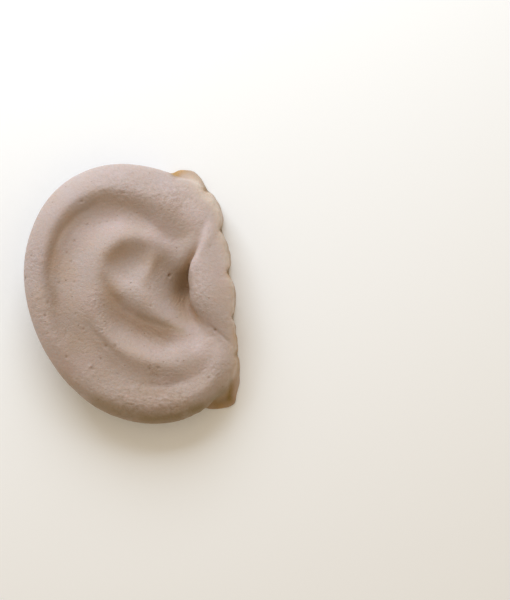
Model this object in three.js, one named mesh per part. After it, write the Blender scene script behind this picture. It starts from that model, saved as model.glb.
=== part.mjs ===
// A slip-on prosthetic ear: one hollow foam latex casting that is glued on over the wearer's own ear.
// It lies on its open back with its outer face up. Millimetres; +Z points away from the head,
// +Y to the top of the ear and +X to the face, so this is a right ear.
import * as THREE from 'three';

// Driving dimensions
const WALL = 3.2; // foam between the outer face and the pocket
const ROOF_CLEARANCE = 0.9; // least height of the pocket's roof, where the foam thins under the concha
const NECK_WALL = 2.2; // foam round the mouth of the pocket
const EDGE_THICKNESS = 0.8; // glue edge, thinned so that it blends with the skin
const FOOT_WIDTH = 1.6; // flat underside of the glue edge, at its narrowest
const POLE = new THREE.Vector2(5.5, 0.8); // where the sections meet, from the middle of the ear

// Sections round the pole: the angle in degrees from +X, then [distance, height] pairs.
// They go from the groove beside the outermost fold, over its lip, crest and rim and down the back
// to the neck, where the casting flares out to the distance of the glue edge.
const SECTION_COLUMNS = ['at', 'groove', 'lip', 'crest', 'rim', 'neck', 'edge'];
const SECTIONS = [
  [1, [14.6, 3.9], [13.0, 11.5], [20.2, 14.4], [27.1, 13.2], [27.4, 4.0], 27.5],
  [16, [14.8, 4.6], [13.1, 11.2], [20.2, 14.2], [27.0, 13.0], [27.3, 4.2], 27.4],
  [28, [15.8, 6.8], [14.9, 11.2], [21.2, 13.8], [28.2, 12.6], [28.5, 4.4], 28.8],
  [36, [18.2, 9.4], [17.8, 11.6], [24.2, 13.5], [30.0, 12.1], [30.3, 4.5], 30.6],
  [43, [22.4, 11.4], [24.8, 12.6], [28.8, 13.2], [32.4, 11.2], [32.7, 4.5], 33.0],
  [50, [23.6, 11.8], [28.0, 12.5], [32.6, 11.9], [34.9, 9.0], [35.1, 4.4], 35.4],
  [66, [17.8, 12.5], [22.0, 13.4], [33.6, 12.5], [38.2, 8.4], [39.0, 4.5], 39.8],
  [77, [19.2, 13.5], [22.8, 14.8], [32.2, 15.3], [38.0, 10.3], [37.0, 4.2], 38.8],
  [90, [22.6, 14.2], [26.4, 16.5], [31.4, 17.9], [39.6, 12.5], [33.6, 4.0], 35.2],
  [104, [27.2, 15.6], [30.9, 18.2], [34.4, 19.3], [41.8, 13.6], [31.2, 4.0], 32.8],
  [118, [30.2, 16.3], [33.7, 18.9], [36.8, 20.0], [43.3, 14.4], [28.6, 3.7], 30.1],
  [135, [31.0, 16.5], [34.5, 19.0], [37.6, 20.5], [43.7, 15.1], [25.0, 3.5], 26.5],
  [160, [29.8, 16.6], [32.7, 18.3], [36.0, 20.4], [41.5, 15.6], [20.0, 3.0], 21.5],
  [190, [28.2, 16.2], [30.9, 17.4], [34.5, 19.4], [38.9, 14.7], [18.0, 3.0], 19.5],
  [212, [28.4, 15.5], [31.2, 16.2], [34.8, 17.0], [38.7, 12.8], [19.0, 3.0], 20.5],
  [231, [27.6, 14.3], [30.8, 14.5], [35.1, 14.8], [39.9, 10.9], [22.0, 3.0], 23.7],
  [250, [29.8, 12.6], [32.8, 13.1], [36.6, 13.4], [41.8, 9.4], [26.0, 3.0], 28.0],
  [275, [31.0, 11.1], [33.9, 12.1], [37.4, 12.7], [43.3, 8.3], [34.0, 3.0], 36.5],
  [293, [31.6, 10.5], [34.3, 11.5], [37.3, 12.0], [42.7, 7.9], [37.8, 3.0], 41.2],
  [304, [31.6, 10.6], [33.9, 11.3], [36.4, 11.6], [40.4, 8.0], [42.4, 3.2], 45.5],
  [316, [27.4, 11.2], [30.2, 11.5], [33.6, 11.4], [38.4, 8.8], [39.3, 3.2], 40.6],
  [326, [22.2, 9.3], [25.4, 10.2], [29.0, 11.1], [33.8, 10.2], [34.2, 3.4], 34.6],
  [335, [15.8, 6.4], [17.4, 10.7], [23.4, 12.5], [30.3, 11.8], [30.6, 3.7], 30.9],
  [342, [14.2, 4.8], [14.8, 10.9], [21.2, 13.5], [28.8, 12.7], [29.1, 3.8], 29.4],
  [350, [14.2, 4.2], [13.4, 11.3], [20.6, 14.2], [27.7, 13.1], [28.0, 3.9], 28.2],
];

// The pocket for the wearer's ear at the same kind of sections:
// the shoulder of its roof and the end of its reach.
const POCKET_COLUMNS = ['at', 'roof', 'reach'];
const POCKET = [
  [1, [18.5, 10.0], [23.4, 6.6]],
  [28, [19.8, 10.4], [24.6, 6.8]],
  [43, [25.2, 9.4], [29.4, 6.6]],
  [66, [26.5, 10.4], [32.6, 7.0]],
  [90, [26.0, 11.2], [32.5, 8.8]],
  [118, [26.5, 11.8], [32.2, 10.2]],
  [160, [25.0, 13.0], [30.0, 10.5]],
  [190, [23.5, 13.0], [28.0, 10.3]],
  [231, [22.5, 11.2], [27.6, 8.4]],
  [275, [26.0, 8.2], [33.0, 5.8]],
  [304, [28.0, 7.4], [35.0, 5.2]],
  [326, [23.0, 6.0], [29.4, 4.8]],
  [342, [19.8, 8.8], [24.6, 5.8]],
];

// Folds of the face inside the helix, each a line through [x, y, height] from the middle of the ear
const FOLDS = [
  {
    fold: 'antihelix crest',
    line: [
      [14.2, 14.6, 12.3], [10.6, 15.5, 13.7], [6.5, 17.4, 15.4], [1.2, 17.8, 17.2],
      [-3.6, 16.4, 18.3], [-7.5, 12.7, 18.6], [-10.2, 6, 18.5], [-10.8, -2, 18.1],
      [-9.3, -10.9, 16.9], [-2.5, -17.8, 15.2], [7, -22, 13.7], [19.4, -22.8, 12.1],
    ],
  },
  {
    fold: 'scapha',
    line: [
      [5.4, 22.2, 13.9], [0, 24.2, 14.7], [-6.7, 23.6, 15.3],
      [-13.6, 19.6, 15.8], [-19.4, 9.8, 16], [-20, -1.4, 16.1],
    ],
  },
  {
    fold: 'lobe dish',
    line: [
      [-13.4, -10.6, 16.3], [-10.6, -16, 15], [-5.5, -21.8, 13.4],
      [2.5, -25.8, 12], [11.4, -27.9, 11.2], [20, -28.2, 10.6],
    ],
  },
  {
    fold: 'triangular fossa',
    line: [[-6, 8.6, 15.9], [-4.2, 11.2, 15.3], [-0.5, 13.4, 14.8], [3.6, 13.2, 13.9]],
  },
  {
    fold: 'fossa floor',
    line: [[-1.4, 6, 13.9], [1.6, 7.6, 13.4], [4.2, 9.4, 13.7]],
  },
  {
    fold: 'lower crus and fossa lip',
    line: [
      [8.4, 13.6, 14], [7.2, 11, 14.4], [6.4, 7.6, 14.8], [4, 3.6, 14.9], [-0.8, 2, 15.1], [-4.2, 3, 15.4],
    ],
  },
  {
    fold: 'lower conchal rim',
    line: [
      [-2.8, 0.9, 15.4], [0.6, -1.2, 15.2], [2, -3.2, 15], [4.3, -5, 14.6],
      [7.7, -7.4, 13.8], [11.2, -9.2, 12.8], [15.2, -11, 11.3], [21.4, -14, 9.8],
    ],
  },
  {
    fold: 'groove inside the antihelix',
    line: [
      [-7, -0.6, 16], [-6.6, -5.2, 13.8], [-4.6, -10.4, 11.5],
      [0.2, -14.2, 10.2], [5.8, -16.4, 9.5], [12.2, -17.2, 9.4],
    ],
  },
  {
    fold: 'concha wall',
    line: [[9.2, 9.6, 12.3], [10.4, 5.6, 11], [11.2, 0.8, 10.1], [13, -3.6, 9], [15.8, -7.4, 8.4]],
  },
  {
    fold: 'concha floor',
    line: [
      [15.6, 12.9, 11.8], [16.2, 10.5, 10.8], [17, 7.2, 8.4], [17.7, 4, 5.3],
      [17.8, 0.8, 3.6], [17.6, -2.2, 3.7], [17.8, -5, 4.4], [18.6, -7.8, 5.8], [20.4, -10.6, 7.8],
    ],
  },
];

// Scallops of the torn glue edge: where each lies, how far round it spreads and how far it stands out.
// One that goes in is a notch through the rim and neck too.
const SCALLOPS = [
  { at: 71.5, spread: 5.5, out: 1.4 },
  { at: 60, spread: 3, out: -0.8 },
  { at: 47, spread: 5, out: 0.4 },
  { at: 39, spread: 3, out: -1.2 },
  { at: 22, spread: 6, out: 0.5 },
  { at: 11, spread: 4, out: -0.9 },
  { at: 357, spread: 5, out: 0.5 },
  { at: 343, spread: 3, out: -0.4 },
  { at: 308, spread: 3.5, out: 1.2 },
];

// The back of the rim turns under at these shares of the way from rim to neck.
const UNDER_SHARE = { distance: 0.12, height: 0.36 };
// The mouth of the pocket is narrowest just above the neck.
const MOUTH_RISE = 0.9;
// The flat foot widens by this share of the flare from mouth to glue edge.
const FLARE_SHARE = 0.5;

// How finely the surface is divided
const SPOKES = 108;
const FACE_RINGS = 22; // pole to groove
const ROLL_RINGS = { lip: 2, crest: 3, rim: 4, under: 2, neck: 4, edge: 3 };
const POCKET_RINGS = { mouth: 2, reach: 3, roof: 2 };
const ROOF_RINGS = 6;
const GROOVE_STEP = 3; // every third spoke hands its groove to the plate
const FOLD_STEP = 1.8; // spacing of the points that a fold hands to the plate
const PLATE_SOFTNESS = 0.02; // lets the plate ease off where folds crowd

// A column of a table of sections, eased round the ear to any angle.
function around(angle, table, pick) {
  const n = table.length;
  let i = n - 1;
  while (i >= 0 && table[i][0] > angle) i -= 1;
  const row = (k) => table[THREE.MathUtils.euclideanModulo(k, n)];
  const angleOf = (k) => row(k)[0] + 360 * Math.floor(k / n);
  const slopeAt = (k) => (pick(row(k + 1)) - pick(row(k - 1))) / (angleOf(k + 1) - angleOf(k - 1));
  const span = angleOf(i + 1) - angleOf(i);
  const t = (angle - angleOf(i)) / span;
  const towards = t * t * (3 - 2 * t);
  return (1 - towards) * pick(row(i)) + towards * pick(row(i + 1))
    + span * t * (1 - t) * ((1 - t) * slopeAt(i) - t * slopeAt(i + 1));
}

// The section at any angle, with its pairs as (distance, height) vectors.
function sectionAt(angle) {
  const pairOf = (table, columns, name) => {
    const c = columns.indexOf(name);
    const distance = around(angle, table, (row) => row[c][0]);
    const height = around(angle, table, (row) => row[c][1]);
    return new THREE.Vector2(distance, height);
  };
  const pair = (name) => pairOf(SECTIONS, SECTION_COLUMNS, name);
  const pocketPair = (name) => pairOf(POCKET, POCKET_COLUMNS, name);
  const scallop = SCALLOPS.reduce((sum, s) => {
    const off = THREE.MathUtils.euclideanModulo(angle - s.at + 180, 360) - 180;
    return sum + s.out * Math.exp(-((off / s.spread) ** 2));
  }, 0);
  const notch = new THREE.Vector2(Math.min(scallop, 0), 0);
  return {
    groove: pair('groove'),
    lip: pair('lip'),
    crest: pair('crest'),
    rim: pair('rim').add(notch),
    neck: pair('neck').add(notch),
    edge: around(angle, SECTIONS, (row) => row[SECTION_COLUMNS.indexOf('edge')]) + scallop,
    roof: pocketPair('roof'),
    reach: pocketPair('reach'),
  };
}

// Solves a square linear system by elimination with row pivots.
function solve(matrix, right) {
  const n = right.length;
  for (let col = 0; col < n; col += 1) {
    let pivot = col;
    for (let row = col + 1; row < n; row += 1) {
      if (Math.abs(matrix[row][col]) > Math.abs(matrix[pivot][col])) pivot = row;
    }
    [matrix[col], matrix[pivot]] = [matrix[pivot], matrix[col]];
    [right[col], right[pivot]] = [right[pivot], right[col]];
    for (let row = col + 1; row < n; row += 1) {
      const share = matrix[row][col] / matrix[col][col];
      for (let k = col; k < n; k += 1) matrix[row][k] -= share * matrix[col][k];
      right[row] -= share * right[col];
    }
  }
  for (let row = n - 1; row >= 0; row -= 1) {
    for (let k = row + 1; k < n; k += 1) right[row] -= matrix[row][k] * right[k];
    right[row] /= matrix[row][row];
  }
  return right;
}

// A thin plate bent through points: returns its height at (x, y).
function bendPlate(points) {
  const bend = (dx, dy) => {
    const d2 = dx * dx + dy * dy;
    return d2 > 0 ? d2 * Math.log(d2) : 0;
  };
  const n = points.length;
  const matrix = points.map((p, i) => [
    ...points.map((q, j) => bend(p.x - q.x, p.y - q.y) + (i === j ? PLATE_SOFTNESS * n : 0)), 1, p.x, p.y,
  ]);
  matrix.push([...points.map(() => 1), 0, 0, 0]);
  matrix.push([...points.map((p) => p.x), 0, 0, 0]);
  matrix.push([...points.map((p) => p.y), 0, 0, 0]);
  const weights = solve(matrix, [...points.map((p) => p.z), 0, 0, 0]);
  return (x, y) => points.reduce(
    (sum, p, i) => sum + weights[i] * bend(x - p.x, y - p.y),
    weights[n] + weights[n + 1] * x + weights[n + 2] * y,
  );
}

// Points along a smooth curve through (distance, height) controls; span i of it gets counts[i] of them.
function along(controls, counts) {
  const inPlane = controls.map((c) => new THREE.Vector3(c.x, c.y, 0));
  const curve = new THREE.CatmullRomCurve3(inPlane, false, 'centripetal');
  const spans = controls.length - 1;
  return counts.flatMap((count, span) => Array.from({ length: count }, (_, k) => {
    const p = curve.getPoint((span + (k + 1) / count) / spans);
    return new THREE.Vector2(p.x, p.y);
  }));
}

// A point of the ear from its angle round the pole and its (distance, height).
function place(angle, point) {
  const turn = THREE.MathUtils.degToRad(angle);
  return new THREE.Vector3(POLE.x + point.x * Math.cos(turn), POLE.y + point.x * Math.sin(turn), point.y);
}

const angles = Array.from({ length: SPOKES }, (_, k) => (360 * k) / SPOKES);
const sections = angles.map(sectionAt);

// The face inside the helix is a plate through the groove all round and the folds.
const groovePoints = angles
  .map((angle, k) => place(angle, sections[k].groove))
  .filter((_, k) => k % GROOVE_STEP === 0);
const foldPoints = FOLDS.flatMap(({ line }) => {
  const curve = new THREE.CatmullRomCurve3(line.map((p) => new THREE.Vector3(...p)));
  return curve.getSpacedPoints(Math.round(curve.getLength() / FOLD_STEP));
});
const faceHeight = bendPlate([...groovePoints, ...foldPoints]);

// One spoke: over the face, the outermost fold and the back to the glue edge,
// then through the pocket to the middle again.
function spoke(angle, s) {
  const faceAt = (distance) => {
    const p = place(angle, new THREE.Vector2(distance, 0));
    return new THREE.Vector2(distance, faceHeight(p.x, p.y));
  };
  const face = Array.from({ length: FACE_RINGS }, (_, k) => faceAt((s.groove.x * (k + 1)) / FACE_RINGS));
  const under = new THREE.Vector2(
    THREE.MathUtils.lerp(s.rim.x, s.neck.x, UNDER_SHARE.distance),
    THREE.MathUtils.lerp(s.rim.y, s.neck.y, UNDER_SHARE.height),
  );
  const edgeTop = new THREE.Vector2(s.edge, EDGE_THICKNESS);
  const roll = along(
    [face.at(-2), face.at(-1), s.lip, s.crest, s.rim, under, s.neck, edgeTop],
    [0, ...Object.values(ROLL_RINGS)],
  );
  const footOut = new THREE.Vector2(s.edge, 0);
  const mouth = new THREE.Vector2(s.neck.x - NECK_WALL, s.neck.y + MOUTH_RISE);
  const footIn = new THREE.Vector2(THREE.MathUtils.lerp(s.edge - FOOT_WIDTH, mouth.x, FLARE_SHARE), 0);
  const pocket = along([footIn, mouth, s.reach, s.roof], Object.values(POCKET_RINGS));
  const roof = Array.from({ length: ROOF_RINGS - 1 }, (_, k) => {
    const p = faceAt((s.roof.x * (ROOF_RINGS - 1 - k)) / ROOF_RINGS);
    p.y = Math.max(p.y - WALL, ROOF_CLEARANCE);
    return p;
  });
  return [...face, ...roll, footOut, footIn, ...pocket, ...roof].map((p) => place(angle, p));
}

// Joins the spokes into one closed skin, with a fan in the middle of the face and of the pocket's roof.
function closedSkin(spokes, faceMiddle, roofMiddle) {
  const rings = spokes[0].length;
  const points = [faceMiddle, ...spokes.flat(), roofMiddle];
  const at = (s, r) => 1 + (s % spokes.length) * rings + r;
  const faces = [];
  spokes.forEach((_, s) => {
    faces.push(0, at(s, 0), at(s + 1, 0));
    for (let r = 0; r + 1 < rings; r += 1) {
      faces.push(at(s, r), at(s, r + 1), at(s + 1, r + 1), at(s, r), at(s + 1, r + 1), at(s + 1, r));
    }
    faces.push(at(s, rings - 1), points.length - 1, at(s + 1, rings - 1));
  });
  return new THREE.BufferGeometry().setFromPoints(points).setIndex(faces);
}

const middle = new THREE.Vector3(POLE.x, POLE.y, faceHeight(POLE.x, POLE.y));
const earGeometry = closedSkin(
  angles.map((angle, k) => spoke(angle, sections[k])),
  middle,
  middle.clone().setZ(middle.z - WALL),
);

// The origin is under the middle of the ear, on the plane that the glue edge lies on.
earGeometry.computeBoundingBox();
const { min, max } = earGeometry.boundingBox;
earGeometry.translate(-(min.x + max.x) / 2, -(min.y + max.y) / 2, -min.z);
earGeometry.computeVertexNormals();

const foamLatex = new THREE.MeshStandardMaterial({ color: 0xbfa595, roughness: 0.85, metalness: 0 });
const ear = new THREE.Mesh(earGeometry, foamLatex);
ear.name = 'ear_shell';

const prostheticEar = new THREE.Group();
prostheticEar.add(ear);

export default prostheticEar;
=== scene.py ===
"""A slip-on prosthetic ear of foam latex, lying face up on a pale floor.

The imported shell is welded, smoothed and given the small forms of a hand-cast foam: crinkles, pits, creases
and a torn edge. Lengths in the tables are millimetres in the part's frame: +X to the face, +Y to the top of
the ear, +Z away from the head. Colours are linear.
"""
import math

import bmesh
import bpy
import numpy as np
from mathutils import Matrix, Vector, kdtree, noise
from mathutils.bvhtree import BVHTree


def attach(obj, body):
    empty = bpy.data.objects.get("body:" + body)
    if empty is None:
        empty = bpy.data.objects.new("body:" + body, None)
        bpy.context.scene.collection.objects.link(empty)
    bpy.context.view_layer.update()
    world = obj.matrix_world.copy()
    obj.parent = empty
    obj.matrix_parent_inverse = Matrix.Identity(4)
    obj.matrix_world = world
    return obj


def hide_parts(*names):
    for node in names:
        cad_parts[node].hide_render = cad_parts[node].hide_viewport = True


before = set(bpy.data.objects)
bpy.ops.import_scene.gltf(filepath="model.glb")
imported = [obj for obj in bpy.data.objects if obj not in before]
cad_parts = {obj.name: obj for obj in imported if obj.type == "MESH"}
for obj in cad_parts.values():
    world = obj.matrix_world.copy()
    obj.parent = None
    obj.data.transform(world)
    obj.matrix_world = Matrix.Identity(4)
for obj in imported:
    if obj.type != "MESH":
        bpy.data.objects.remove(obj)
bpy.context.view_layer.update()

MM = 0.001


def table(columns, rows):
    """The rows of a table as dicts, named by its columns."""
    return [dict(zip(columns, row)) for row in rows]


# The picture's frame: its height and middle on a plane about half way up the ear
FRAME_HEIGHT = 193.1
FRAME_MIDDLE = (39.7, -1.9)
FOCUS_HEIGHT = 12.0
LENS = 300.0
SENSOR = 36.0

# Light and floor
KEY = {"place": (-90, 410, 270), "size": (420, 300), "power": 2.6, "colour": (0.84, 0.92, 1.0)}
ALL_ROUND = {"strength": 0.63, "colour": (1.0, 0.82, 0.60)}
FLOOR = {"half": 1500.0, "below": 0.02, "colour": (0.88, 0.92, 0.97), "roughness": 0.9}

# The smooth skin
WELD = 0.001
ON_FLOOR = 0.02  # points lower than this lie on the floor
FOOT_CREASE = 0.85  # how sharp the rim of the flat foot stays
SUBDIVISIONS = 2
SWELL = 0.15  # gives back what smoothing takes from the crests
POLE = (5.3, 1.3)  # the middle that the folds turn about
READING = {"rays": 40, "reach": 18.0, "lift": 0.05, "thickest": 10.0}

# Which points are skin that shows, by the height of their normal: from none of it to all of it
UPPER = (0.0, 0.3)
OUTER = (-0.25, 0.25)
SIDE_GAIN = 1.3  # how soon a point that turns from up to outward counts as side

# Crinkles of the skin: where, how far they spread, how deep, which way they run and their size
CRINKLES = table(("at", "spread", "deep", "run", "long", "short"), [
    ((-10.2, 36.2), 7, 0.1, 25, 1.7, 0.9),
    ((-1.5, 34.0), 8, 0.13, 5, 1.7, 0.9),
    ((11.0, 31.4), 8, 0.15, -20, 1.9, 0.9),
    ((18.8, 28.6), 6, 0.13, 20, 2.0, 0.9),
    ((-31.2, 10.3), 6, 0.1, 15, 2.6, 1.0),
    ((-31.0, 0.8), 6, 0.1, 10, 2.8, 1.0),
    ((-28.4, -7.0), 4, 0.1, 15, 3.0, 1.1),
    ((-25.6, -12.5), 5, 0.08, 25, 2.6, 1.0),
    ((-12.6, -2.4), 3.4, 0.14, 24, 2.6, 1.1),
    ((-9.6, -10.5), 4, 0.09, 10, 1.8, 1.0),
    ((1.6, -0.6), 2.8, 0.09, 150, 2.0, 1.0),
    ((-13.5, -30.0), 6, 0.13, -35, 2.2, 1.0),
    ((0.5, -36.2), 8, 0.24, -5, 2.2, 1.0),
    ((13.5, -35.6), 8, 0.22, 10, 2.0, 1.0),
    ((7.2, -23.6), 3, 0.14, 40, 2.2, 0.9),
    ((25.0, -24.5), 5, 0.12, 30, 1.6, 1.0),
    ((5.5, -14.4), 6.5, 0.09, -37, 9.0, 0.9),
    ((9.0, -29.0), 7, 0.08, 2, 9.0, 0.9),
    ((15.6, -2.9), 3, 0.12, 70, 3.0, 0.8),
    ((20.0, -16.5), 5, 0.08, 10, 1.8, 1.0),
])

# Places where the grain of the skin is coarser: where, how far it spreads and by how much
COARSE = table(("at", "spread", "share"), [
    ((21.4, 9.0), 3.5, 0.5),
    ((21.0, 2.0), 4.5, 0.9),
    ((22.5, -6.0), 4.0, 0.8),
    ((28.0, -24.0), 5.0, 0.6),
    ((0.0, -36.5), 7.0, 0.9),
    ((14.0, -36.0), 7.0, 0.9),
    ((-3.0, 34.0), 6.0, 0.5),
    ((10.0, 30.0), 7.0, 0.5),
])

# Pits left by burst bubbles: where, how wide, how deep and how dark the shade painted in them is
PITS = table(("at", "wide", "deep", "dark"), [
    ((-15.8, 29.8), 0.4, 0.25, 0.7), ((-14.2, 22.3), 0.4, 0.2, 0.6), ((-10.2, 22.6), 0.35, 0.15, 0.5),
    ((-7.7, 23.3), 0.35, 0.15, 0.5), ((-5.0, 23.6), 0.35, 0.15, 0.5), ((-12.0, 21.6), 0.3, 0.15, 0.4),
    ((-18.3, 17.1), 0.42, 0.22, 0.7), ((-20.7, 13.3), 0.42, 0.22, 0.7), ((-19.3, 10.5), 0.4, 0.2, 0.6),
    ((-19.9, 8.2), 0.35, 0.15, 0.5), ((-15.4, 9.7), 0.32, 0.15, 0.4), ((-15.2, 13.9), 0.3, 0.15, 0.4),
    ((-23.2, 3.6), 0.5, 0.22, 0.6), ((-18.4, 3.9), 0.38, 0.25, 0.8), ((-19.4, 1.2), 0.32, 0.15, 0.4),
    ((-31.9, 12.4), 0.35, 0.25, 0.8), ((-34.0, 5.1), 0.55, 0.45, 1.0), ((-2.8, 35.9), 0.35, 0.18, 0.5),
    ((-26.8, -2.7), 0.6, 0.22, 0.7), ((-27.6, -6.9), 0.45, 0.35, 0.9), ((-23.2, -4.3), 0.35, 0.15, 0.4),
    ((-17.9, -6.3), 0.38, 0.2, 0.6), ((-15.4, -11.2), 0.38, 0.18, 0.5), ((-21.0, -12.3), 0.38, 0.18, 0.6),
    ((-16.6, -14.7), 0.32, 0.15, 0.4), ((-20.9, -20.0), 0.42, 0.3, 0.9), ((-15.5, -19.0), 0.3, 0.15, 0.4),
    ((-9.9, -20.8), 0.42, 0.25, 0.8), ((-10.6, -18.4), 0.32, 0.15, 0.4), ((-8.2, -16.6), 0.6, 0.25, 0.6),
    ((-5.2, -16.7), 0.55, 0.22, 0.5), ((-4.6, -25.6), 0.38, 0.18, 0.5), ((-9.4, -11.5), 0.38, 0.18, 0.5),
    ((12.1, 6.0), 0.55, 0.55, 1.0), ((25.0, 20.1), 0.32, 0.18, 0.5), ((25.2, 15.3), 0.36, 0.25, 0.8),
    ((31.4, 6.0), 0.7, 0.6, 1.0), ((24.3, 33.9), 0.45, 0.25, 1.0), ((6.3, -3.9), 0.4, 0.2, 0.4),
    ((8.8, -13.6), 0.38, 0.15, 0.3), ((17.8, -13.5), 0.38, 0.2, 0.6), ((14.8, -21.6), 0.45, 0.22, 0.6),
    ((6.5, -18.7), 0.36, 0.15, 0.4), ((24.8, -27.0), 0.34, 0.2, 0.8), ((26.8, -11.5), 0.5, 0.45, 1.0),
    ((5.8, -24.0), 0.5, 0.25, 0.6), ((8.6, -23.7), 0.5, 0.25, 0.6), ((23.4, -3.7), 0.4, 0.18, 0.4),
    ((-12.4, -23.9), 0.5, 0.22, 0.3),
])

# Swells and hollows too slight for the main folds: lines through (x, y), their width and height
SWELLS = table(("line", "wide", "high"), [
    ([(4.0, 33.0), (10.0, 29.5), (15.5, 26.0), (20.0, 22.0), (23.0, 18.0)], 4.5, 0.9),
    ([(24.3, 22.2), (21.4, 14.2), (19.6, 8.4), (19.6, 2.9), (20.8, -1.9)], 2.2, 0.5),
    ([(23.0, 21.5), (19.0, 15.0), (17.2, 11.2), (16.0, 6.0)], 3.0, 1.2),
    ([(-22.4, 3.5), (-22.9, 9.5), (-22.4, 16.8), (-19.3, 22.4), (-14.5, 25.8)], 2.0, 0.15),
    ([(-19.5, 21.8), (-15.3, 25.2), (-9.7, 27.0), (-3.8, 27.2), (2.0, 25.6), (6.0, 23.2)], 2.9, 0.15),
    ([(-25.0, -7.0), (-26.2, -2.0), (-26.8, 3.0), (-26.6, 8.0), (-25.4, 14.0), (-22.6, 20.4),
     (-18.0, 25.4), (-12.0, 29.2), (-4.5, 30.4), (-1.0, 30.0)], 1.2, -0.45),
    ([(-30.1, -13.4), (-26.0, -20.3), (-20.5, -26.7), (-14.0, -31.3), (-5.3, -35.9)], 1.8, 0.6),
    ([(-25.8, 3.0), (-25.0, -1.5), (-24.3, -6.5), (-22.6, -11.0), (-20.4, -15.0)], 1.5, -0.6),
    ([(2.0, -29.8), (4.8, -29.9), (11.7, -29.5), (17.6, -27.2), (19.5, -25.6)], 1.5, -0.5),
    ([(2.5, -13.0), (9.0, -15.8), (14.0, -17.0)], 2.0, 0.4),
    ([(-8.6, 3.0), (-6.6, -0.4), (-2.2, -4.8), (4.3, -8.0), (11.6, -10.6), (14.6, -11.6)], 1.3, -0.5),
    ([(-15.0, -8.0), (-12.7, -11.1), (-8.1, -16.2), (-3.5, -20.8), (0.5, -23.6)], 1.1, -0.4),
])

# Steps that are partly filled: lines through (x, y), the fill's height at each, its width and share
FILLS = table(("line", "heights", "wide", "share"), [
    ([(23.2, 22.0), (21.8, 17.5), (20.6, 14.4), (19.2, 11.2)], (12.5, 12.5, 12.0, 10.4), 1.5, 0.85),
    ([(20.0, -4.0), (21.6, -7.0), (23.2, -9.0), (25.4, -11.4)], (6.6, 8.9, 9.9, 10.4), 1.5, 0.7),
])

# Where sharp turns of the folds are rubbed soft: a place and how far round it
SOFTENED = table(("at", "spread"), [
    ((15.5, 18.5), 5.0),
    ((20.2, 14.6), 3.4),
    ((22.0, -8.0), 4.0),
])

# Small raised spots: where, how wide and how high
SPOTS = table(("at", "wide", "high"), [
    ((-13.3, -23.1), 0.55, 0.28),
    ((25.4, -15.1), 1.4, 0.14),
    ((6.3, 31.3), 0.5, 0.12),
    ((20.9, 25.6), 0.45, 0.12),
])

# Creases: lines through (x, y), with their width and depth
CREASES = table(("line", "wide", "deep"), [
    ([(24.6, -9.4), (27.0, -11.6), (31.0, -15.1), (33.1, -17.4)], 0.5, 0.35),
    ([(24.6, 26.0), (22.4, 20.0), (21.0, 16.5)], 0.8, 0.12),
    ([(31.6, -24.0), (32.0, -28.5), (31.2, -32.6), (27.6, -34.8)], 0.9, 0.45),
    ([(21.2, 33.4), (21.2, 29.0), (21.2, 24.8)], 0.35, 0.06),
    ([(-29.8, -5.8), (-26.4, -5.2)], 0.4, 0.12),
    ([(-29.2, -7.4), (-26.8, -6.8)], 0.4, 0.1),
    ([(-24.6, -16.1), (-22.2, -15.0)], 0.4, 0.12),
    ([(12.4, 39.4), (14.6, 37.9), (17.5, 37.5), (20.7, 36.6), (23.0, 35.0), (24.4, 33.6)], 0.7, 0.55),
    ([(23.4, -14.0), (26.8, -13.6)], 0.45, 0.14),
])
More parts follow.
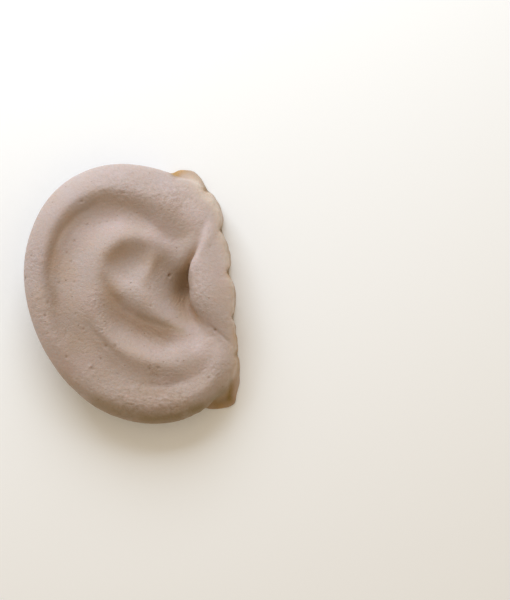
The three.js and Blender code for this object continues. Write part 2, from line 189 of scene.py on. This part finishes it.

# Uneven colour, mostly painted light and shade: pale where powder lies and as painted highlight on crests
# facing the light, cool as the cool colour of the light painted on the lit outer rim, warm, dusky and olive
# as painted shade in grooves, hollows and on the bottom rim that faces down; lines through (x, y), how far
# the colour spreads from them and how strong it is
TINT_COLUMNS = ("line", "wide", "share")
TINTS = {
    # pale: powder, and painted highlight along crests facing the light
    "pale": table(TINT_COLUMNS, [
        ([(12.0, 31.0), (16.5, 29.0), (20.0, 25.0)], 5.0, 0.46),
        ([(5.0, 18.5), (12.0, 16.0)], 2.6, 0.35),
        ([(24.3, 22.2), (21.4, 14.2), (19.3, 8.4)], 1.3, 0.5),
        ([(22.0, 10.0), (21.0, 2.0)], 2.6, 0.3),
        ([(14.5, -15.5), (20.5, -17.0)], 3.0, 0.5),
        ([(-17.0, 20.0), (-12.0, 22.4), (-5.0, 23.5)], 2.8, 0.35),
        ([(22.0, -16.0), (26.5, -18.5)], 3.5, 0.25),
        ([(17.5, -26.2), (21.0, -25.0), (24.8, -23.2)], 2.0, 0.35),
        ([(-2.0, -22.5), (3.5, -24.5)], 2.0, 0.25),
        ([(9.5, -27.8), (14.5, -28.0)], 1.6, 0.32),
        ([(-3.0, 25.5), (2.0, 25.0), (7.0, 23.6)], 2.2, 0.3),
        ([(-4.0, 32.6), (2.0, 32.0)], 1.6, 0.25),
        ([(-28.5, -8.0), (-26.5, -13.0)], 2.0, 0.22),
        ([(-33.5, 10.0), (-32.8, -4.0), (-29.5, -13.5), (-24.5, -21.0)], 2.5, 0.2),
        ([(-5.0, 5.6), (-1.0, 3.6), (1.6, 3.4)], 1.3, 0.25),
    ]),
    # cool: painted light, the cool colour of the light on the lit outer rim of the helix
    "cool": table(TINT_COLUMNS, [
        ([(-31.0, 8.0), (-29.5, 18.0), (-21.5, 29.0), (-12.0, 36.0), (-2.0, 38.0), (9.0, 37.0)],
         4.0, 0.34),
    ]),
    # warm: painted shade, the warm colour of shade in grooves and hollows
    "warm": table(TINT_COLUMNS, [
        ([(-7.0, 1.0), (-4.4, -5.8), (1.0, -8.5), (6.0, -10.5), (11.0, -12.0)], 3.2, 0.25),
        ([(14.0, -1.0), (16.5, -3.5)], 2.5, 0.25),
        ([(-6.5, 13.0), (-3.0, 15.0)], 2.5, 0.2),
        ([(-25.5, 8.0), (-24.8, 15.8), (-20.0, 24.5)], 2.0, 0.22),
        ([(-21.5, 11.0), (-20.5, 2.0)], 3.0, 0.12),
    ]),
    # dusky: painted shade in grooves, creases and under overhangs
    "dusky": table(TINT_COLUMNS, [
        ([(7.0, 11.0), (11.0, 8.0), (14.5, 2.0)], 3.6, 0.3),
        ([(16.6, 6.5), (16.6, 2.5)], 2.6, 0.5),
        ([(-21.5, -4.0), (-20.5, -11.0), (-19.5, -16.5)], 4.5, 0.26),
        ([(-25.6, 1.0), (-24.8, -4.0), (-24.2, -8.0), (-22.4, -12.5)], 1.6, 0.15),
        ([(-24.2, 14.0), (-24.8, 8.0), (-25.0, 2.0), (-24.8, -2.0)], 1.7, 0.2),
        ([(26.0, 27.5), (27.5, 23.5)], 1.8, 0.16),
        ([(5.0, -32.0), (9.2, -31.5), (14.0, -30.5)], 1.5, 0.16),
        ([(-26.5, 3.0), (-26.6, 8.0), (-25.4, 14.0), (-22.6, 20.4), (-18.0, 25.4), (-12.0, 29.2)],
         1.1, 0.3),
        ([(-7.0, 12.0), (-3.0, 15.5)], 2.0, 0.25),
        ([(14.0, 39.6), (19.0, 39.6), (22.5, 37.5)], 1.7, 0.5),
        ([(13.4, 38.6), (14.4, 38.6)], 0.9, 0.5),
        ([(-9.2, 5.6), (-7.0, 2.0), (-4.0, -1.0)], 1.5, 0.3),
        ([(7.6, 9.8), (6.2, 6.5), (4.6, 3.2)], 1.2, 0.2),
    ]),
    # olive: painted shade on the bottom rim and edges that face down, and in a groove
    "olive": table(TINT_COLUMNS, [
        ([(25.6, -33.8), (28.6, -31.6), (30.5, -31.0)], 1.6, 0.25),
        ([(4.0, -40.4), (10.0, -40.3), (15.0, -39.4)], 1.6, 0.25),
        ([(-22.0, -26.5), (-13.0, -33.2)], 1.5, 0.1),
        ([(20.0, -37.0), (27.0, -34.4), (30.0, -31.4)], 1.9, 0.32),
        ([(-11.0, -35.0), (-4.0, -38.0), (6.0, -40.0), (15.0, -39.0), (22.0, -36.8)], 2.2, 0.5),
        ([(32.0, -28.0), (32.1, -30.4), (31.4, -33.6)], 0.9, 0.6),
        ([(27.6, -36.0), (31.5, -34.6)], 1.7, 0.65),
        ([(2.5, -7.0), (10.8, -9.7), (16.2, -12.0)], 1.2, 0.25),
    ]),
}

# Amber painted on the thin edge as light shining through the thin foam and, at the flap's inner end, as
# shade: where, how far it spreads and how strong
AMBER = table(("at", "spread", "share"), [
    ((13.6, 39.3), 2.0, 1.0),
    ((16.6, 40.4), 2.2, 0.6),
    ((24.0, 34.0), 1.4, 0.7),
    ((31.4, 6.4), 1.6, 0.6),
    ((33.4, -13.6), 2.0, 0.6),
    ((34.4, -21.0), 3.0, 0.4),
    ((29.0, -36.8), 2.2, 0.7),
])

# What holds for all rows of a table, and for the lumps and the peel all over
FILLED = {"facing": -0.1, "above": 3.0}
SOFTENING = {"rounds": 40, "share": 0.5}
LUMPS = {"size": 7.0, "deep": 0.08}
PEEL = {"size": 1.1, "deep": 0.045, "shift": 5.0}
# creased is the share of painted shade in the crinkles' grooves
CRINKLE = {"reach": 2.2, "shift": 3.0, "level": 0.6, "leather": 0.1, "creased": 0.2}
PIT = {"above": 40.0, "dark": 0.7}

# The torn edge: the foot all round, and the flange on the face side with its teeth and bites
TORN_FOOT = {"size": 3.0, "out": 0.40, "height": 2.4, "shift": 9.0}
TORN_FLANGE = {"size": 2.2, "out": 0.45, "shift": 2.0, "back": 0.2, "stretch": 0.5}
FLANGE_WAY = (14.0, 22.0)  # how far to the face the tearing starts and is full
FLANGE_HEIGHTS = {"at": (6.0, 11.5), "share": (0.4, 1.0)}
TEETH = {"size": 0.9, "out": 0.16, "shift": 7.0}
BITES = [(24.3, 33.8), (28.9, 20.8), (31.4, 7.3), (32.5, -7.4), (33.8, -19.6)]
BITE = {"wide": 1.0, "deep": 0.9}
FEATHER = {"wide": 1.8, "torn": 0.8, "above": 5.0}  # the pale, thinned margin in from the torn edge
LOBE_EDGE = (-30.0, -24.0)  # below the first height the edge is whole, above the second it is feathered

# Colours of the foam and of what lies on it, many of them painted light and shade: shade in folds, grooves,
# pores and pits, low down and on sides facing down, light on lit crests and through the thin edges
COLOURS = {
    "open": (0.464, 0.392, 0.379),
    # painted shade: the colour of the folds, where the foam lies shut in
    "fold": (0.426, 0.276, 0.150),
    "flesh": (0.465, 0.355, 0.285),
    "powder": (0.490, 0.380, 0.372),
    "speck": (0.330, 0.255, 0.204),
    # painted shade: darker towards the lobe, away from the light
    "painted_lower_shade": (0.345, 0.255, 0.180),
    # painted shade on sides facing down and towards the lobe
    "under": (0.200, 0.150, 0.066),
    "pale": (0.595, 0.505, 0.520),
    "cool": (0.395, 0.335, 0.350),
    "warm": (0.500, 0.330, 0.200),
    "dusky": (0.245, 0.155, 0.080),
    "olive": (0.200, 0.145, 0.050),
    "feather": (0.560, 0.470, 0.415),
    # painted shade in the grooves of crinkles and the hollows of lumps
    "creased": (0.225, 0.150, 0.085),
    # painted light: the torn wall drawn paler, lifting the shade on its side
    "torn": (0.600, 0.500, 0.390),
    # painted light through the thin foam, and shade at the flap's inner end
    "amber": (0.400, 0.235, 0.085),
    # painted shade in the pores
    "pore": (0.210, 0.120, 0.055),
    # painted shade in the pits
    "pitted": (0.190, 0.100, 0.040),
}

# Blotches all over: the colour they lean to, by how much, their size, and the detail and range of the noise
BLOTCHES = table(("colour", "share", "size", "detail", "range"), [
    ("flesh", 0.4, 9.0, 3.0, (0.35, 0.68)),
    ("powder", 0.4, 14.0, 2.0, (0.50, 0.72)),
    ("speck", 0.16, 0.9, 2.0, (0.3, 0.7)),
])

# How much the shares stored on the skin draw it to the colours of the same names, in this order
# Most of these are painted light and shade; feather is the thinned margin's own paler colour
LAYERS = {
    "pale": 1, "cool": 1, "warm": 1, "dusky": 1, "olive": 1, "feather": 0.5, "creased": 0.30, "torn": 0.3,
}
SHARES = (*LAYERS, "leather", "coarse", "amber", "pitted")

# The rest of the colour and the grain: ranges from none to all, and how much of each counts
# Painted shade: the openness at which the fold colour starts and at which it is full
OPEN_TO_SHUT = (0.95, 0.35)
# Painted shade: darker from y = 6 mm down to y = -44 mm, towards the lobe, away from the light
LOWER_SHADE = {"from": 6.0, "to": -44.0, "share": 0.25}
# Painted shade: darker where the skin faces down and towards the lobe, away from the light
UNDERSIDE_SHADE = {"facing": (0.15, -0.90, -0.40), "range": (0.25, 0.95), "share": 0.55}
# The coarse lumps, whose hollows also get painted shade: size, detail, the range counted as hollow and that
# shade's share
COARSE_LUMP = {"size": 1.3, "detail": 1.0, "hollow": (0.55, 0.36), "share": 0.22}
# Painted light through the thin foam: the thickness and height over which it comes in, and its shares
PAINTED_GLOW = {"thickness": (3.2, 1.0), "height": (5.5, 1.2), "thin": 0.6, "share": 0.9}
# Pores, darkened with painted shade: how far apart, which of them show, the edge of each and that shade's
# share
PORE = {"apart": 2.1, "number": (0.55, 1.0), "edge": (0.17, 0.05), "share": 0.5}
# Painted shade in the pits
PITTED_SHARE = 0.7
RELIEF = {"peel": 0.19, "leather": 0.08, "coarse": 0.45, "grain": 0.12, "pore": 0.12, "strength": 0.8}
PEEL_SIZE = 0.8
GRAIN_SIZE = 0.35
ROUGHNESS = {"size": 3.0, "range": 0.2, "least": 0.68}
FOAM = {
    "Specular IOR Level": 0.25,
    "Subsurface Weight": 0.25,
    "Subsurface Radius": (1.0, 0.55, 0.35),
    "Subsurface Scale": 1.5 * MM,
    "Sheen Weight": 0.08,
    "Sheen Roughness": 0.6,
}


def link(name, data):
    """A new object of the data in the scene."""
    thing = bpy.data.objects.new(name, data)
    bpy.context.scene.collection.objects.link(thing)
    return thing


def welded(node, name):
    """A copy of the node's mesh with its corners joined and its triangles paired into four-sided faces."""
    bm = bmesh.new()
    bm.from_mesh(node.data)
    bmesh.ops.remove_doubles(bm, verts=bm.verts, dist=WELD * MM)
    bmesh.ops.join_triangles(
        bm, faces=bm.faces, angle_face_threshold=math.pi, angle_shape_threshold=math.pi
    )
    crease = bm.edges.layers.float.new("crease_edge")
    for edge in bm.edges:
        flat = [max(v.co.z for v in f.verts) < ON_FLOOR * MM for f in edge.link_faces]
        if any(flat) and not all(flat):
            edge[crease] = FOOT_CREASE
    mesh = bpy.data.meshes.new(name)
    bm.to_mesh(mesh)
    bm.free()
    return mesh


def store(mesh, shares):
    """Keeps a number for each point of the mesh under each name."""
    for name, values in shares.items():
        mesh.attributes.new(name, "FLOAT", "POINT").data.foreach_set("value", values.astype(np.float32))


def spread_directions(count):
    """Directions spread evenly over the upper half of a ball round +Z, closer together near the pole."""
    turn = math.pi * (3 - math.sqrt(5))
    out = []
    for k in range(count):
        up = math.sqrt((k + 0.5) / count)
        flat = math.sqrt(1 - up * up)
        out.append(Vector((flat * math.cos(k * turn), flat * math.sin(k * turn), up)))
    return out


def add_readings(mesh):
    """Stores how open each point lies, 1 open to 0 shut in, and how thick the foam behind it is, in mm."""
    bm = bmesh.new()
    bm.from_mesh(mesh)
    tree = BVHTree.FromBMesh(bm)
    bm.free()
    directions = spread_directions(READING["rays"])
    reach = READING["reach"] * MM
    opened = np.ones(len(mesh.vertices))
    thick = np.full(len(mesh.vertices), READING["thickest"])
    for v in mesh.vertices:
        turn = v.normal.to_track_quat("Z", "Y")
        lift = v.normal * READING["lift"] * MM
        shut = 0.0
        for d in directions:
            distance = tree.ray_cast(v.co + lift, turn @ d, reach)[3]
            if distance is not None:
                shut += 1 - distance / reach
        opened[v.index] = 1 - shut / len(directions)
        through = tree.ray_cast(v.co - lift, -v.normal, READING["thickest"] * MM)[3]
        if through is not None:
            thick[v.index] = through / MM
    store(mesh, {"openness": opened, "thickness": thick})


def smoothed(mesh, name):
    """The object of the mesh after smooth subdivision, with the modifier applied."""
    rough = link(name + "_rough", mesh)
    sub = rough.modifiers.new("smooth", "SUBSURF")
    sub.levels = SUBDIVISIONS
    sub.render_levels = SUBDIVISIONS
    sub.boundary_smooth = "PRESERVE_CORNERS"
    depsgraph = bpy.context.evaluated_depsgraph_get()
    fine = bpy.data.meshes.new_from_object(rough.evaluated_get(depsgraph))
    bpy.data.objects.remove(rough)
    fine.name = name
    return link(name, fine)


def read_points(mesh, what="co"):
    """A row of three numbers for each point of the mesh: its place, or its normal."""
    values = np.zeros(len(mesh.vertices) * 3, np.float32)
    mesh.vertices.foreach_get(what, values)
    return values.reshape(-1, 3).astype(float)


def move_points(mesh, points):
    """Puts the mesh's points at places in mm."""
    mesh.vertices.foreach_set("co", (points * MM).astype(np.float32).ravel())
    mesh.update()


def noise_at(points, size, shift=0.0):
    """Smooth noise from -1 to 1 at points in mm, with bumps of about the given size."""
    offset = Vector((shift, shift * 1.7, -shift))
    return np.array([noise.noise(Vector(p) / size + offset) for p in points])


def ease(values, low, high):
    """0 up to low, 1 from high on, and straight between them."""
    return np.clip((values - low) / (high - low), 0, 1)


def bell(away, wide, power=2):
    """1 in the middle and fading out past the width; a higher power makes the top flatter."""
    return np.exp(-((away / wide) ** power))


def off_line(points, line):
    """How far points lie from a line of corners, seen from above, and their share of the way along it."""
    best = np.full(len(points), np.inf)
    share = np.zeros(len(points))
    lengths = [math.dist(a, b) for a, b in zip(line, line[1:])]
    before = 0.0
    for (ax, ay), (bx, by), length in zip(line, line[1:], lengths):
        dx, dy = bx - ax, by - ay
        t = ((points[:, 0] - ax) * dx + (points[:, 1] - ay) * dy) / (length * length)
        t = np.clip(t, 0, 1)
        away = np.hypot(points[:, 0] - ax - t * dx, points[:, 1] - ay - t * dy)
        share = np.where(away < best, (before + t * length) / sum(lengths), share)
        best = np.minimum(best, away)
        before += length
    return best, share


def off_spot(points, at):
    """How far points lie from a place, seen from above."""
    return np.hypot(points[:, 0] - at[0], points[:, 1] - at[1])


def softened(mesh, points):
    """The points drawn towards their neighbours' middle, round after round, at the places to be softened."""
    edges = np.zeros(len(mesh.edges) * 2, np.int64)
    mesh.edges.foreach_get("vertices", edges)
    ends = np.concatenate([edges[0::2], edges[1::2]])
    others = np.concatenate([edges[1::2], edges[0::2]])
    links = np.bincount(ends, minlength=len(points))
    share = np.zeros(len(points))
    for row in SOFTENED:
        share += bell(off_spot(points, row["at"]), row["spread"], 4)
    share = SOFTENING["share"] * np.clip(share, 0, 1) * (read_points(mesh, "normal")[:, 2] > 0)
    for _ in range(SOFTENING["rounds"]):
        sums = [np.bincount(ends, weights=points[others, axis], minlength=len(points)) for axis in range(3)]
        points = points + share[:, None] * (np.stack(sums, 1) / links[:, None] - points)
    return points


def main_swells(mesh):
    """Lifts or sinks the upper skin along the swells, fills the steps and softens the places named."""
    points = read_points(mesh) / MM
    facing_up = read_points(mesh, "normal")[:, 2]
    upper = ease(facing_up, *UPPER)
    for row in SWELLS:
        away, share = off_line(points, row["line"])
        points[:, 2] += row["high"] * (bell(away, row["wide"]) * np.sin(math.pi * share) * upper)
    for row in FILLS:
        away, share = off_line(points, row["line"])
        along = np.linspace(0, 1, len(row["heights"]))
        short = np.maximum(np.interp(share, along, row["heights"]) - points[:, 2], 0)
        filled = (facing_up > FILLED["facing"]) & (points[:, 2] > FILLED["above"])
        points[:, 2] += row["share"] * short * bell(away, row["wide"], 4) * filled
    move_points(mesh, softened(mesh, points))


class Skin:
    """The points of the smooth ear in mm, how deep its small forms go, and their share of each point."""

    def __init__(self, piece):
        self.piece = piece
        self.points = read_points(piece.data) / MM
        self.normals = read_points(piece.data, "normal")
        self.outer = ease(self.normals[:, 2], *OUTER)
        from_pole = self.points[:, :2] - np.array(POLE)
        outward = (self.normals[:, :2] * from_pole).sum(1) > 0
        self.side = np.clip(SIDE_GAIN * (1 - self.normals[:, 2] ** 2), 0, 1) * outward
        self.shown = np.maximum(self.outer, self.side)
        self.depth = np.zeros(len(self.points))
        self.shares = {name: np.zeros(len(self.points)) for name in SHARES}

    def lumps(self):
        """Slight lumps and the peel of the skin."""
        self.depth += SWELL * self.shown + LUMPS["deep"] * noise_at(self.points, LUMPS["size"])
        self.depth += PEEL["deep"] * noise_at(self.points, PEEL["size"], PEEL["shift"]) * self.outer

    def crinkles(self):
        """Fine grooves with their own run and size in each place."""
        for number, row in enumerate(CRINKLES):
            away = off_spot(self.points, row["at"]) / row["spread"]
            near = np.flatnonzero(away < CRINKLE["reach"])
            turn = math.radians(row["run"])
            x, y, z = self.points[near].T
            along = (x * math.cos(turn) + y * math.sin(turn)) / row["long"]
            across = (y * math.cos(turn) - x * math.sin(turn)) / row["short"]
            stretched = np.stack([along, across, z / row["long"]], 1)
            grooves = 1 - 2 * np.abs(noise_at(stretched, 1.0, CRINKLE["shift"] * number))
            share = bell(away[near], 1) * self.outer[near]
            self.depth[near] -= row["deep"] * (grooves - CRINKLE["level"]) * share
            self.shares["leather"][near] += share * row["deep"] / CRINKLE["leather"]
            # The creased share paints shade into the bottoms of the grooves
            cut = ease(grooves, CRINKLE["level"], 1)
            self.shares["creased"][near] += share * cut * row["deep"] / CRINKLE["creased"]

    def pits(self):
        """Burst bubbles where the skin lies under each place."""
        tree = BVHTree.FromObject(self.piece, bpy.context.evaluated_depsgraph_get())
        for row in PITS:
            hit = tree.ray_cast(Vector((*row["at"], PIT["above"])) * MM, Vector((0, 0, -1)))[0]
            away = np.linalg.norm(self.points - np.array(hit) / MM, axis=1) / row["wide"]
            self.depth -= row["deep"] * bell(away, 1)
            # The pitted share paints shade into the pit
            self.shares["pitted"] += row["dark"] * bell(away, PIT["dark"])

    def spots_and_creases(self):
        """Small raised spots, and creases that fade out at both ends."""
        for row in SPOTS:
            self.depth += row["high"] * bell(off_spot(self.points, row["at"]), row["wide"], 4) * self.outer
        for row in CREASES:
            away, share = off_line(self.points, row["line"])
            fade = 1 - (2 * share - 1) ** 4
            self.depth -= row["deep"] * bell(away, row["wide"]) * fade * self.shown

    def uneven_colour(self):
        """Coarse places, places tinted with painted light and shade, and amber places painted as light
        through the thin foam, which move no points.
        """
        for row in COARSE:
            away = off_spot(self.points, row["at"])
            self.shares["coarse"] += row["share"] * bell(away, row["spread"]) * self.outer
        for kind, rows in TINTS.items():
            for row in rows:
                away = off_line(self.points, row["line"])[0]
                self.shares[kind] += row["share"] * bell(away, row["wide"]) * self.shown
        for row in AMBER:
            self.shares["amber"] += row["share"] * bell(off_spot(self.points, row["at"]), row["spread"])

    def foot_tear(self):
        """How far the torn foot stands out at each point."""
        tear = noise_at(self.points * np.array([1, 1, 0]), TORN_FOOT["size"], TORN_FOOT["shift"])
        low = np.clip(1 - self.points[:, 2] / TORN_FOOT["height"], 0, 1)
        return TORN_FOOT["out"] * tear * low

    def flange_tear(self):
        """How far the torn flange stands out at each point, with its teeth and bites."""
        drawn = self.points * np.array([1, 1, TORN_FLANGE["stretch"]])
        tear = noise_at(drawn, TORN_FLANGE["size"], TORN_FLANGE["shift"])
        teeth = noise_at(drawn, TEETH["size"], TEETH["shift"])
        tear = TORN_FLANGE["out"] * (tear - TORN_FLANGE["back"]) + TEETH["out"] * teeth
        tear *= np.interp(self.points[:, 2], FLANGE_HEIGHTS["at"], FLANGE_HEIGHTS["share"])
        for at in BITES:
            tear -= BITE["deep"] * bell(off_spot(self.points, at), BITE["wide"])
        return tear * self.torn()

    def torn(self):
        """Which points belong to the torn side of the flange."""
        return self.side * ease(self.points[:, 0], *FLANGE_WAY)

    def feather(self):
        """Marks the torn side and the margin that thins towards it, above the lobe."""
        torn = self.torn()
        wall = np.flatnonzero((torn > FEATHER["torn"]) & (self.points[:, 2] > FEATHER["above"]))
        lookup = kdtree.KDTree(len(wall))
        for number, index in enumerate(wall):
            lookup.insert(self.points[index], number)
        lookup.balance()
        above_lobe = ease(self.points[:, 1], *LOBE_EDGE)
        for index in np.flatnonzero((self.points[:, 0] > FLANGE_WAY[0]) & (self.outer > 0)):
            away = lookup.find(self.points[index])[2]
            self.shares["feather"][index] = bell(away, FEATHER["wide"])
        self.shares["feather"] *= above_lobe
        # The torn share also draws the torn wall paler, painted light on its shaded side
        self.shares["torn"] = torn * above_lobe

    def moved(self):
        """The points where the small forms take them; those on the floor stay on it."""
        moved = self.points + self.normals * self.depth[:, None]
        flat_out = self.normals * np.array([1, 1, 0])
        moved += flat_out * self.foot_tear()[:, None]
        moved += flat_out * self.flange_tear()[:, None]
        moved[:, 2] = np.where(self.points[:, 2] < ON_FLOOR, self.points[:, 2], moved[:, 2])
        moved[:, 2] = np.maximum(moved[:, 2], 0)
        return moved


def small_forms(piece):
    """Moves the points of the smooth ear into its small forms, and stores what its colour needs of them."""
    skin = Skin(piece)
    skin.lumps()
    skin.crinkles()
    skin.pits()
    skin.spots_and_creases()
    skin.uneven_colour()
    skin.feather()
    mesh = piece.data
    move_points(mesh, skin.moved())
    store(mesh, {name: np.clip(values, 0, 1) for name, values in skin.shares.items()})
    mesh.polygons.foreach_set("use_smooth", np.ones(len(mesh.polygons), bool))


class Nodes:
    """Adds shader nodes to a material's tree and links them."""

    def __init__(self, material):
        self.tree = material.node_tree

    def add(self, kind, **settings):
        """A new node with its settings."""
        node = self.tree.nodes.new(kind)
        for name, value in settings.items():
            setattr(node, name, value)
        return node

    def join(self, source, target):
        """Links two sockets."""
        self.tree.links.new(source, target)

    def feed(self, socket, value):
        """Links a socket to another, or sets it to a number or colour."""
        if hasattr(value, "is_linked"):
            self.join(value, socket)
        else:
            socket.default_value = value

    def combine(self, operation, a, b):
        """The operation on two values."""
        node = self.add("ShaderNodeMath", operation=operation)
        self.feed(node.inputs[0], a)
        self.feed(node.inputs[1], b)
        return node.outputs[0]

    def times(self, a, b):
        """The product of two values."""
        return self.combine("MULTIPLY", a, b)

    def ramp(self, factor, low, high):
        """A value that goes from 0 to 1 as factor goes from low to high, smoothly."""
        node = self.add("ShaderNodeMapRange", interpolation_type="SMOOTHSTEP")
        self.join(factor, node.inputs["Value"])
        node.inputs["From Min"].default_value = low
        node.inputs["From Max"].default_value = high
        return node.outputs["Result"]

    def tint(self, colour, factor, towards, share=1):
        """The colour drawn towards a named one by factor, of which the share counts."""
        node = self.add("ShaderNodeMix", data_type="RGBA")
        self.join(factor if share == 1 else self.times(factor, share), node.inputs["Factor"])
        for name, value in (("A", colour), ("B", (*COLOURS[towards], 1))):
            socket = next(s for s in node.inputs if s.name == name and s.type == "RGBA")
            self.feed(socket, value)
        return next(s for s in node.outputs if s.type == "RGBA")

    def noise(self, coords, size, detail=2.0):
        """Noise from 0 to 1 with bumps of about the given size in mm."""
        node = self.add("ShaderNodeTexNoise")
        self.join(coords, node.inputs["Vector"])
        node.inputs["Scale"].default_value = 1 / (size * MM)
        node.inputs["Detail"].default_value = detail
        return node.outputs["Fac"]

    def cells(self, coords, size):
        """Distance from the nearest of points about that many mm apart, and a number for each point."""
        node = self.add("ShaderNodeTexVoronoi")
        self.join(coords, node.inputs["Vector"])
        node.inputs["Scale"].default_value = 1 / (size * MM)
        split = self.add("ShaderNodeSeparateColor")
        self.join(node.outputs["Color"], split.inputs["Color"])
        return node.outputs["Distance"], split.outputs["Red"]


def foam_colour(n, coords, reading, lump, pore):
    """Cool and pale where the foam lies open and on crests facing the light, warm and dark as painted shade
    in the folds, low down and on sides facing down, amber as painted light through the thin foam.
    """
    place = n.add("ShaderNodeSeparateXYZ")
    n.join(coords, place.inputs["Vector"])
    # Painted shade: the fold colour drawn in where the foam lies shut in
    colour = n.tint((*COLOURS["open"], 1), n.ramp(reading["openness"], *OPEN_TO_SHUT), "fold")
    for row in BLOTCHES:
        factor = n.ramp(n.noise(coords, row["size"], row["detail"]), *row["range"])
        colour = n.tint(colour, factor, row["colour"], row["share"])

    # Painted shade: darker towards the lobe, where the light falls off
    painted_lower_shade = n.ramp(place.outputs["Y"], LOWER_SHADE["from"] * MM, LOWER_SHADE["to"] * MM)
    colour = n.tint(colour, painted_lower_shade, "painted_lower_shade", LOWER_SHADE["share"])
    # Painted shade on the sides that face down and towards the lobe, away from the light
    facing = n.add("ShaderNodeVectorMath", operation="DOT_PRODUCT")
    n.join(n.add("ShaderNodeNewGeometry").outputs["Normal"], facing.inputs[0])
    facing.inputs[1].default_value = UNDERSIDE_SHADE["facing"]
    colour = n.tint(colour, n.ramp(facing.outputs["Value"], *UNDERSIDE_SHADE["range"]), "under", UNDERSIDE_SHADE["share"])

    # Tints of painted light and shade, the thinned margin, painted shade in the crinkle grooves and painted
    # light on the torn wall
    for name, share in LAYERS.items():
        colour = n.tint(colour, reading[name], name, share)
    # Painted shade in the hollows of the coarse lumps
    hollow = n.times(n.ramp(lump, *COARSE_LUMP["hollow"]), reading["coarse"])
    colour = n.tint(colour, hollow, "creased", COARSE_LUMP["share"])

    # Painted amber light through the foam where it is thin near the base, and on the amber rows
    near_base = n.ramp(place.outputs["Z"], *(height * MM for height in PAINTED_GLOW["height"]))
    thin = n.times(n.ramp(reading["thickness"], *PAINTED_GLOW["thickness"]), near_base)
    painted_glow = n.combine("MAXIMUM", n.times(thin, PAINTED_GLOW["thin"]), n.times(reading["amber"], near_base))
    painted_glow = n.combine("MAXIMUM", painted_glow, n.times(reading["amber"], reading["torn"]))
    colour = n.tint(colour, painted_glow, "amber", PAINTED_GLOW["share"])

    # Painted shade in the pores
    colour = n.tint(colour, pore, "pore", PORE["share"])
    # Painted shade in the pits
    return n.tint(colour, reading["pitted"], "pitted", PITTED_SHARE)


def foam_relief(n, coords, reading, lump, pore):
    """The height in mm of grain that is finer than the mesh."""
    peel = n.combine("ADD", n.times(reading["leather"], RELIEF["leather"]), RELIEF["peel"])
    relief = n.times(n.noise(coords, PEEL_SIZE), peel)
    relief = n.combine("ADD", relief, n.times(n.times(lump, reading["coarse"]), RELIEF["coarse"]))
    relief = n.combine("ADD", relief, n.times(n.noise(coords, GRAIN_SIZE), RELIEF["grain"]))
    return n.combine("SUBTRACT", relief, n.times(pore, RELIEF["pore"]))


def foam_latex():
    """Powdered, flesh-coloured foam with a fine grain and open pores."""
    material = bpy.data.materials.new("foam_latex")
    material.use_nodes = True
    n = Nodes(material)
    shader = n.tree.nodes["Principled BSDF"]
    coords = n.add("ShaderNodeTexCoord").outputs["Object"]
    reading = {
        name: n.add("ShaderNodeAttribute", attribute_name=name).outputs["Fac"]
        for name in ("openness", "thickness", *SHARES)
    }
    lump = n.noise(coords, COARSE_LUMP["size"], COARSE_LUMP["detail"])
    pore_distance, pore_number = n.cells(coords, PORE["apart"])
    pore = n.times(n.ramp(pore_distance, *PORE["edge"]), n.ramp(pore_number, *PORE["number"]))
    n.join(foam_colour(n, coords, reading, lump, pore), shader.inputs["Base Color"])

    bump = n.add("ShaderNodeBump")
    bump.inputs["Strength"].default_value = RELIEF["strength"]
    bump.inputs["Distance"].default_value = MM
    n.join(foam_relief(n, coords, reading, lump, pore), bump.inputs["Height"])
    n.join(bump.outputs["Normal"], shader.inputs["Normal"])

    rough = n.times(n.noise(coords, ROUGHNESS["size"]), ROUGHNESS["range"])
    n.join(n.combine("ADD", rough, ROUGHNESS["least"]), shader.inputs["Roughness"])
    for name, value in FOAM.items():
        shader.inputs[name].default_value = value
    return material


def floor_material():
    """Plain, matte and pale."""
    material = bpy.data.materials.new("floor")
    material.use_nodes = True
    shader = material.node_tree.nodes["Principled BSDF"]
    shader.inputs["Base Color"].default_value = (*FLOOR["colour"], 1)
    shader.inputs["Roughness"].default_value = FLOOR["roughness"]
    return material


def studio():
    """Pale floor, cool soft light from the top of the ear, warm light all round, and the camera overhead."""
    scene = bpy.context.scene
    mesh = bpy.data.meshes.new("floor")
    half = FLOOR["half"] * MM
    corners = [(-half, -half), (half, -half), (half, half), (-half, half)]
    mesh.from_pydata([(x, y, -FLOOR["below"] * MM) for x, y in corners], [], [(0, 1, 2, 3)])
    mesh.materials.append(floor_material())
    floor = link("floor", mesh)

    light = bpy.data.lights.new("key", "AREA")
    light.shape = "RECTANGLE"
    light.size, light.size_y = (side * MM for side in KEY["size"])
    light.energy = KEY["power"]
    light.color = KEY["colour"]
    key = link("key", light)
    key.location = Vector(KEY["place"]) * MM
    key.rotation_euler = (-Vector(KEY["place"])).to_track_quat("-Z", "Y").to_euler()

    world = bpy.data.worlds.new("studio")
    world.use_nodes = True
    background = world.node_tree.nodes["Background"]
    background.inputs["Color"].default_value = (*ALL_ROUND["colour"], 1)
    background.inputs["Strength"].default_value = ALL_ROUND["strength"]
    scene.world = world

    scene.view_settings.view_transform = "Standard"
    camera = bpy.data.cameras.new("camera")
    camera.lens = LENS
    camera.sensor_width = SENSOR
    camera.clip_start = 0.1
    camera.clip_end = 10
    scene.camera = link("camera", camera)
    distance = FRAME_HEIGHT * LENS / SENSOR
    scene.camera.location = Vector((*FRAME_MIDDLE, FOCUS_HEIGHT + distance)) * MM


shell = welded(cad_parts["ear_shell"], "ear_skin")
add_readings(shell)
ear = smoothed(shell, "foam_ear")
main_swells(ear.data)
small_forms(ear)
ear.data.materials.clear()
ear.data.materials.append(foam_latex())
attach(ear, "root")
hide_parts("ear_shell")
studio()
